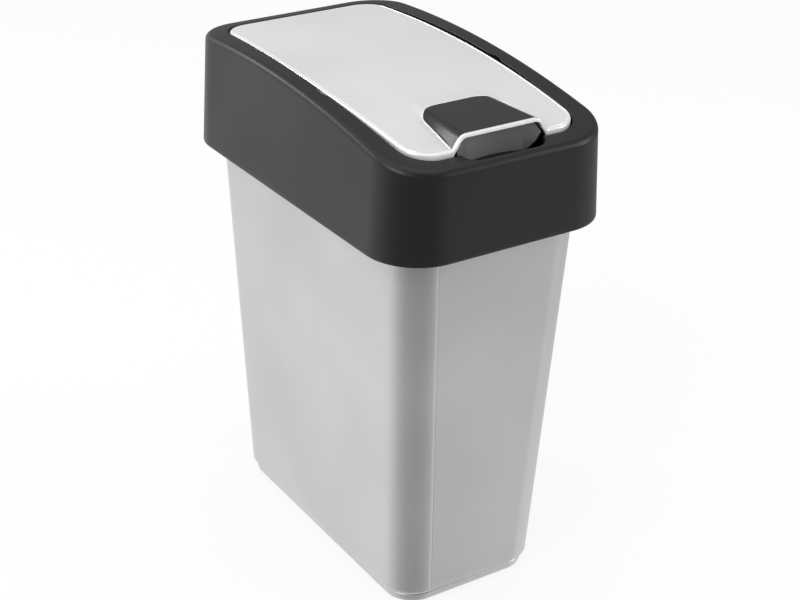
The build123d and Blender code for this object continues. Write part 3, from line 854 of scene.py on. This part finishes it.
@dataclass
class FlipLid:
    """The lid: silver cover with its rim and arched hood, and the dark insert on the hood."""

    shop: Workshop
    hood: HoodForm = HoodForm()
    plan: LidPlan = LidPlan()
    skin: float = 1.8 * MM
    rim: float = 4.6 * MM
    edge: float = 1.5 * MM
    hood_edge: float = 0.8 * MM
    hood_skin: float = 2.2 * MM
    field_inset: float = 2.6 * MM
    groove: float = 0.2 * MM
    bead: float = 0.55 * MM
    bead_out: float = 0.6
    bead_height: float = 0.75
    bead_sunk: float = 0.1 * MM
    insert_band: float = 2.4 * MM
    insert_rear_y: float = -70.9 * MM
    insert_spread: float = 1.2 * MM
    insert_thickness: float = 1.3 * MM
    insert_proud: float = 0.08 * MM
    insert_corner: float = 15.5 * MM
    fine_outside: float = 3.2 * MM
    fine_inside: float = 4.0 * MM
    foot_most: float = 0.86
    crease_least: float = 3.0 * MM
    pocket_start: float = 0.3 * MM
    pocket_slope: float = 0.8 * MM
    rim_chamfer: float = 0.3 * MM
    # Inset in mm beside the lid's outline and on the hood's front edge, and share of the groove's depth.
    step_line: tuple = ((2.4, 2.45, 0.0), (2.3, 1.3, 1.0), (2.05, 1.1, 1.0), (1.9, 0.95, 0.0))

    def rows_y(self, inset: float) -> tuple[np.ndarray, np.ndarray]:
        """Depths of the grid's rows and the lid's half width there, drawn in by inset.

        The rounded ends step by equal turns of the corner, and the straight part by even steps.

        Args:
            inset: distance inside the lid's outline.

        Returns:
            Depths from front to rear, and half widths.
        """
        radius = self.plan.corner - inset
        turn = np.linspace(math.pi / 2, 0, 19)
        end = self.plan.half_length - self.plan.corner
        start = self.plan.middle_y - end
        front_y = start - radius * np.sin(turn)
        front_half = self.plan.half_end - self.plan.corner + radius * np.cos(turn)
        near = np.linspace(start, self.insert_rear_y, 15)[1:]
        shelf = np.linspace(self.insert_rear_y, self.hood.rear_y, 9)[1:]
        far = np.linspace(self.hood.rear_y, self.plan.middle_y + end, 27)[1:-1]
        straight = np.concatenate([near, shelf, far])
        rear_y = self.plan.middle_y + end + radius * np.sin(turn[::-1])
        depths = np.concatenate([front_y, straight, rear_y])
        side = np.full(len(straight), self.plan.half_end - inset)
        return depths, np.concatenate([front_half, side, front_half[::-1]])

    def spread(self, marks: list, counts: list) -> np.ndarray:
        """Places across for each row: even steps between each mark and the next, mirrored about the middle.

        Args:
            marks: half widths from the edge to the middle, each an array over the rows.
            counts: steps between neighbouring marks.

        Returns:
            Places across, rows by columns, from left to right.
        """
        steps = []
        for outer, inner, count in zip(marks[:-1], marks[1:], counts):
            share = np.arange(count) / count
            steps.append(outer[:, None] * (1 - share) + inner[:, None] * share)
        right = np.concatenate(steps, axis=1)
        return np.concatenate([-right, np.zeros((len(right), 1)), right[:, ::-1]], axis=1)

    def insert_half(self, y: np.ndarray) -> np.ndarray:
        """Half width of the insert at depth y: the hood's foot, wider to the rear, with round corners."""
        run = np.clip(self.insert_corner - (self.insert_rear_y - y), 0, self.insert_corner)
        back = np.clip((y - self.hood.front_y) / (self.insert_rear_y - self.hood.front_y), 0, 1)
        side = self.hood.foot(y) + self.insert_spread * back
        return side - self.insert_corner + np.sqrt(self.insert_corner**2 - run**2)

    def pocket(self, x: np.ndarray, y: np.ndarray) -> np.ndarray:
        """Depth of the insert's pocket: full inside the insert's outline, and none outside it."""
        half = self.insert_half(np.minimum(y, self.insert_rear_y))
        inside = np.minimum(half - np.abs(x), self.insert_rear_y - y)
        share = np.clip((inside - self.pocket_start) / self.pocket_slope, 0, 1)
        return share * (self.insert_thickness - self.insert_proud)

    @staticmethod
    def border(grid: np.ndarray) -> np.ndarray:
        """Numbers round a grid's edge, anticlockwise seen from above."""
        return np.concatenate([grid[0, :-1], grid[:-1, -1], grid[-1, :0:-1], grid[:0:-1, 0]])

    def build_cover(self) -> None:
        """Builds the cover as a closed skin: top grid, fine step line, rounded rim, its inside, underside."""
        depths, half = self.rows_y(self.field_inset)
        foot = np.minimum(self.hood.foot(depths), half * self.foot_most)
        crease = np.minimum(self.hood.crease(depths), foot - self.crease_least)
        marks = [half, foot, crease + self.fine_outside, crease - self.fine_inside, crease * 0.0]
        x = self.spread(marks, [8, 4, 11, 7])
        y = np.repeat(depths[:, None], x.shape[1], axis=1)
        parts = MeshParts()
        bent = self.plan.bent(np.stack([x, y], axis=-1))
        blend = np.clip((np.abs(x) - foot[:, None]) / (half - foot)[:, None], 0, 1)
        x = np.where(y < self.hood.rear_y, x + (bent[..., 0] - x) * blend, bent[..., 0])
        z = self.hood.height(x, y)
        top = parts.add_points(np.stack([x, y, z - self.pocket(x, y)], axis=-1))
        parts.quads(top)
        edge = self.border(top)
        points = parts.array()[edge]
        middle = np.array([0, self.plan.middle_y])
        inner = np.array([self.plan.half_end - self.plan.corner, self.plan.half_length - self.plan.corner])
        nearest = np.clip(points[:, :2] - middle, -inner, inner) + middle
        normal = points[:, :2] - nearest
        normal /= np.linalg.norm(normal, axis=1)[:, None]
        arched = (points[:, 1] < self.hood.front_y + self.field_inset + 0.1 * MM) & (
            np.abs(points[:, 0]) < self.hood.foot(points[:, 1])
        )
        previous = edge

        def ring_at(inset: float | np.ndarray, drop: float | np.ndarray) -> np.ndarray:
            """Ring at an inset from the lid's outline, below the lid's surface there by drop."""
            plan = points[:, :2] + normal * (self.field_inset - np.broadcast_to(inset, len(points)))[:, None]
            return raised(plan, self.hood.height(plan[:, 0], plan[:, 1]) - drop)

        radius = np.where(arched, self.hood_edge, self.edge)
        rings = []
        for inset, arched_inset, share in self.step_line:
            rings.append(ring_at(np.where(arched, arched_inset, inset) * MM, share * self.groove))
        for turn in np.radians(np.linspace(90, 0, 9)):
            rings.append(ring_at(radius * (1 - math.cos(turn)), radius * (1 - math.sin(turn))))
        outline = rings[-1]
        base = self.hood.height(outline[:, 0], outline[:, 1])
        depth = self.rim_depth(outline, arched)
        inside = points[:, :2] + normal * (self.field_inset - self.skin)
        rings.append(raised(outline[:, :2], base - depth + self.rim_chamfer))
        rings.append(raised(outline[:, :2] - normal * self.rim_chamfer, base - depth))
        rings.append(raised(inside, base - depth))
        start = len(parts.faces)
        for ring in rings:
            numbers = parts.add_points(ring)
            parts.quads(np.stack([numbers, previous]), closed=True)
            previous = numbers
        # Faces of the step line and the rim, which get the smoother edge finish, painted paler as a painted
        # highlight.
        polished = list(range(start, len(parts.faces)))
        under = parts.add_points(np.stack([x, y, z - self.skin], axis=-1))
        parts.quads(under, flip=True)
        parts.quads(np.stack([self.border(under), previous]), closed=True)
        start = len(parts.faces)
        self.add_bead(parts)
        polished += list(range(start, len(parts.faces)))
        # The rim's, the step line's and the bead's faces take the edge finish: smoother, and painted paler as a
        # painted highlight.
        self.shop.piece(
            "lid_silver_cover", parts, LID_SILVER, Body.LID, Slot.LID_SILVER, "lid_cover",
            sharp_degrees=30.0, edge_finish=LID_EDGE_HIGHLIGHT, edge_faces=polished,
        )

    def add_bead(self, parts: MeshParts) -> None:
        """Adds the fine raised bead that frames the insert at its sides and rear.

        Args:
            parts: gets the bead, a half round strip along the insert's outline.
        """
        front = self.hood.front_y + self.insert_band
        corner = self.insert_corner
        turn = np.linspace(0, math.pi / 2, 25)
        corner_y = self.insert_rear_y - corner
        depths = np.concatenate([np.linspace(front, corner_y, 24)[:-1], corner_y + corner * np.sin(turn)])
        half = self.insert_half(depths)
        plan = np.concatenate([np.column_stack([half, depths]), np.column_stack([-half, depths])[::-1]])
        along = np.gradient(plan, axis=0)
        along /= np.linalg.norm(along, axis=1)[:, None]
        normal = np.column_stack([along[:, 1], -along[:, 0]])
        rows = []
        for angle in np.radians(np.linspace(0, 180, 9)):
            out = plan + normal * self.bead * (math.cos(angle) + self.bead_out)
            level = self.hood.height(out[:, 0], out[:, 1]) - self.bead_sunk
            rows.append(raised(out, level + self.bead * self.bead_height * math.sin(angle)))
        numbers = parts.add_points(np.stack(rows))
        parts.quads(numbers)
        parts.quads(np.stack([numbers[-1], numbers[0]]))

    def rim_depth(self, points: np.ndarray, arched: np.ndarray) -> np.ndarray:
        """Depth of the rim below the top at edge points: even all round, and the hood's skin where it arches.

        Args:
            points: edge points, n by 3.
            arched: which of them lie on the hood's front edge.

        Returns:
            Depths, n.
        """
        step = 0.2 * MM
        x, y = points[:, 0], points[:, 1]
        slope = (self.hood.height(x + step, y) - self.hood.height(x - step, y)) / (2 * step)
        return np.where(arched, self.hood_skin * np.sqrt(1 + slope**2), self.rim)

    def build_insert(self) -> None:
        """Builds the dark insert: a thin closed skin over the hood, with a rounded edge."""
        front = self.hood.front_y + self.insert_band
        turn = np.linspace(0, math.pi / 2, 15)
        corner = self.insert_corner
        straight = np.linspace(front, self.insert_rear_y - corner, 18)
        rear = self.insert_rear_y - corner + corner * np.sin(turn[1:]) * 0.998
        depths = np.concatenate([straight, rear])
        half = self.insert_half(depths)
        crease = np.minimum(self.hood.crease(depths), half * 0.82)
        outside = np.minimum(crease + self.fine_outside, half * 0.94)
        x = self.spread([half, outside, crease - self.fine_inside, crease * 0.0], [5, 11, 8])
        y = np.repeat(depths[:, None], x.shape[1], axis=1)
        z = self.hood.height(x, y)
        parts = MeshParts()
        top = parts.add_points(np.stack([x, y, z + self.insert_proud], axis=-1))
        parts.quads(top)
        under = parts.add_points(np.stack([x, y, z - self.insert_thickness * 0.6], axis=-1))
        parts.quads(under, flip=True)
        parts.quads(np.stack([self.border(under), self.border(top)]), closed=True)
        self.shop.piece(
            "hood_dark_insert", parts, INSERT_DARK, Body.LID, Slot.INSERT_DARK, "hood_insert",
            sharp_degrees=30.0,
        )


@dataclass
class CarriedNodes:
    """Construction nodes that keep their own shape and get a finish and softened edges."""

    shop: Workshop
    finishes: dict = field(
        default_factory=lambda: {
            "lid_liner": FRAME_DARK,
            "latch_carrier": FRAME_DARK,
            # The button's grey is painted lighter, painted light against the shade under the hood.
            "release_button": BUTTON_GLOSS,
            "pivot_pin_left": PIN_PLASTIC,
            "pivot_pin_right": PIN_PLASTIC,
            "button_axle": STEEL,
            "button_spring": STEEL,
        }
    )
    softened: dict = field(
        default_factory=lambda: {
            "lid_liner": 0.25 * MM,
            "latch_carrier": 0.2 * MM,
            "release_button": 0.3 * MM,
        }
    )
    same_corner: float = 0.005 * MM
    edge_degrees: float = 40.0

    def dress(self) -> None:
        """Puts each finish on its node and rounds the edges of the larger ones."""
        for name, finish in self.finishes.items():
            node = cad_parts[name]
            node.data.materials.clear()
            node.data.materials.append(self.shop.material(finish))
            if name in self.softened:
                weld = node.modifiers.new("join_corners", "WELD")
                weld.merge_threshold = self.same_corner
                bevel = node.modifiers.new("soft_edges", "BEVEL")
                bevel.width = self.softened[name]
                bevel.segments = 2
                bevel.limit_method = "ANGLE"
                bevel.angle_limit = math.radians(self.edge_degrees)
            LOG.info("%s: dressed as %s", name, finish.name)


@dataclass
class Studio:
    """Pale floor, soft lights and the camera at the photograph's angle."""

    camera_place: tuple = (-573.879 * MM, -875.475 * MM, 710.0 * MM)
    yaw: float = 0.538
    pitch: float = 0.471
    focal_pixels: float = 1663.789
    principal: tuple = (324.544, 298.879)
    image: tuple = (800, 600)
    sensor: float = 36.0
    ambient: float = 0.62
    floor_half: float = 6.0
    floor_white: float = 0.86
    dark_side: tuple = (-0.1, 0.8, 0.22)
    dark_above: tuple = (0.0, 0.62, 0.32)
    # Name, place in metres, side in metres and watts of each soft box.
    lamps: tuple = (
        ("key_left", (-1.3, -0.5, 1.3), 0.9, 10.0),
        ("top_soft", (0.1, 0.2, 1.9), 1.6, 7.0),
        ("front_fill", (1.5, -1.1, 0.9), 0.8, 9.0),
        ("rim_left", (-0.95, 1.5, 1.25), 0.5, 6.5),
    )

    def build(self) -> None:
        """Sets the floor, the world, the lamps and the camera."""
        self.floor()
        self.world()
        for lamp in self.lamps:
            self.lamp(*lamp)
        self.camera()
        bpy.context.scene.view_settings.view_transform = "Standard"

    def floor(self) -> None:
        """A wide pale sheet that keeps the bin's soft shadow and looks white to the camera."""
        mesh = bpy.data.meshes.new("studio_floor")
        half = self.floor_half
        corners = [(-half, -half, 0), (half, -half, 0), (half, half, 0), (-half, half, 0)]
        mesh.from_pydata(corners, [], [(0, 1, 2, 3)])
        floor = bpy.data.objects.new("studio_floor", mesh)
        bpy.context.scene.collection.objects.link(floor)
        material = bpy.data.materials.new("studio_paper")
        material.use_nodes = True
        tree = material.node_tree
        tree.nodes.clear()
        paper = {"Base Color": linear("f4f4f4"), "Roughness": 0.9, "Specular IOR Level": 0.2}
        shader = add_node(tree, "BsdfPrincipled", paper).outputs[0]
        white = add_node(tree, "Emission", {"Color": (1, 1, 1, 1), "Strength": 1.0}).outputs[0]
        seen = add_node(tree, "LightPath").outputs["Is Camera Ray"]
        dimmed = {"operation": "MULTIPLY", 1: self.floor_white}
        share = add_node(tree, "Math", dimmed, {0: seen}).outputs[0]
        mix = add_node(tree, "MixShader", links={0: share, 1: shader, 2: white})
        add_node(tree, "OutputMaterial", links={"Surface": mix.outputs[0]})
        mesh.materials.append(material)
        floor.visible_glossy = False

    def world(self) -> None:
        """Soft surroundings: even light for the surfaces, and white to the camera and through clear parts.

        In reflections they are white too, and darker where the photographer stands and high on the right.
        """
        world = bpy.data.worlds.new("studio_surroundings")
        bpy.context.scene.world = world
        world.use_nodes = True
        tree = world.node_tree
        tree.nodes.clear()
        path = add_node(tree, "LightPath").outputs
        rays = {0: path["Is Camera Ray"], 1: path["Is Transmission Ray"]}
        direct = add_node(tree, "Math", {"operation": "ADD"}, rays).outputs[0]
        toward = add_node(tree, "TexCoord").outputs["Generated"]
        back = (-math.sin(self.yaw), -math.cos(self.yaw), 0.0)
        above = (math.sqrt(0.5), 0.0, math.sqrt(0.5))
        low = self.fade(tree, toward, back, self.dark_side)
        high = self.fade(tree, toward, above, self.dark_above)
        mirrored = add_node(tree, "Math", {"operation": "MULTIPLY"}, {0: low, 1: high})
        plain = {"Color": (1, 1, 1, 1)}
        white = add_node(tree, "Background", {**plain, "Strength": 1.0})
        shown = add_node(tree, "Background", plain, {"Strength": mirrored.outputs[0]})
        soft = add_node(tree, "Background", {**plain, "Strength": self.ambient})
        sides = {0: path["Is Glossy Ray"], 1: soft.outputs[0], 2: shown.outputs[0]}
        glossy = add_node(tree, "MixShader", {}, sides)
        mix = add_node(tree, "MixShader", links={0: direct, 1: glossy.outputs[0], 2: white.outputs[0]})
        add_node(tree, "OutputWorld", links={"Surface": mix.outputs[0]})

    def fade(self, tree: NodeTree, toward: NodeSocket, axis: tuple, span: tuple) -> NodeSocket:
        """Strength that falls from 1 as the direction turns to an axis.

        Args:
            tree: node tree of the world.
            toward: direction of the ray.
            axis: direction in which the surroundings are darkest.
            span: cosines between which the strength falls, and the least strength.

        Returns:
            The socket that holds the strength.
        """
        start, end, least = span
        product = {"operation": "DOT_PRODUCT", 1: axis}
        along = add_node(tree, "VectorMath", product, {0: toward}).outputs["Value"]
        fall = {"From Min": start, "From Max": end, "To Min": 1.0, "To Max": least}
        ramp = add_node(tree, "MapRange", {"interpolation_type": "SMOOTHSTEP", **fall}, {"Value": along})
        return ramp.outputs["Result"]

    def lamp(self, name: str, place: tuple, size: float, power: float) -> None:
        """Adds a square soft box that faces the middle of the bin.

        Args:
            name: name of the lamp.
            place: where it stands, in metres.
            size: length of its side.
            power: light given, in watts.
        """
        light = bpy.data.lights.new(name, "AREA")
        light.size = size
        light.energy = power
        lamp = bpy.data.objects.new(name, light)
        bpy.context.scene.collection.objects.link(lamp)
        lamp.location = place
        aim = Vector((0, 0, 0.2)) - Vector(place)
        lamp.rotation_euler = aim.to_track_quat("-Z", "Y").to_euler()

    def camera(self) -> None:
        """Sets the camera from the solved view: its place, its turn and tilt, and the picture's middle."""
        data = bpy.data.cameras.new("photo_view")
        data.sensor_width = self.sensor
        data.lens = self.focal_pixels / self.image[0] * self.sensor
        data.shift_x = (self.image[0] / 2 - self.principal[0]) / self.image[0]
        data.shift_y = -(self.image[1] / 2 - self.principal[1]) / self.image[0]
        data.clip_start = 0.05
        camera = bpy.data.objects.new("photo_view", data)
        bpy.context.scene.collection.objects.link(camera)
        level = math.cos(self.pitch)
        forward = Vector((math.sin(self.yaw) * level, math.cos(self.yaw) * level, -math.sin(self.pitch)))
        right = Vector((math.cos(self.yaw), -math.sin(self.yaw), 0))
        up = right.cross(forward)
        turn = Matrix((right, up, -forward)).transposed().to_4x4()
        camera.matrix_world = Matrix.Translation(self.camera_place) @ turn
        bpy.context.scene.camera = camera


def main() -> None:
    """Builds the bin's looks, piece by piece, then the studio."""
    logging.basicConfig(level=logging.INFO, format="%(name)s %(message)s")
    shop = Workshop()
    BinTub(shop).build()
    Collar(shop).build()
    lid = FlipLid(shop)
    lid.build_cover()
    lid.build_insert()
    CarriedNodes(shop).dress()
    Studio().build()


if __name__ == "__main__":
    main()
